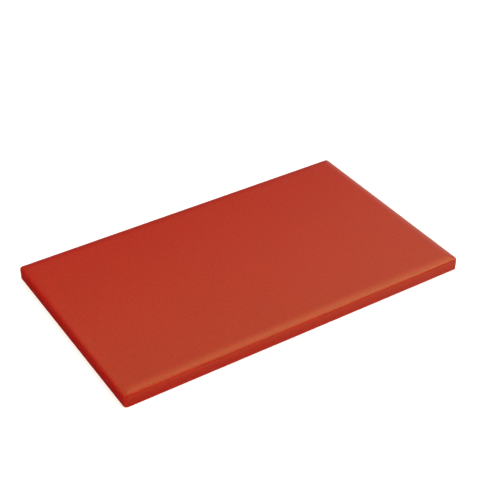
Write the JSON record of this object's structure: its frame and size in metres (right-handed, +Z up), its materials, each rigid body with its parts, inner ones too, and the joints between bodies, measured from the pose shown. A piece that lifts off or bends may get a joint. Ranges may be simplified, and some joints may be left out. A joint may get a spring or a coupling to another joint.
{
  "type": "cutting board",
  "caption": "Plain rectangular cutting board for a professional kitchen: a solid red polyethylene slab with rounded corners, a broad round along its upper edge and a finely grained cutting face.",
  "frame": {"origin": "middle of the underside, on the surface the board lies on", "axes": "+X along the long side, +Y across the board, +Z up through the thickness, out of the upper cutting face"},
  "size_m": [0.5, 0.3, 0.02],
  "materials": {
    "red_polyethylene": "satin"
  },
  "bodies": {
    "root": {"board": "red_polyethylene"}
  },
  "joints": []
}
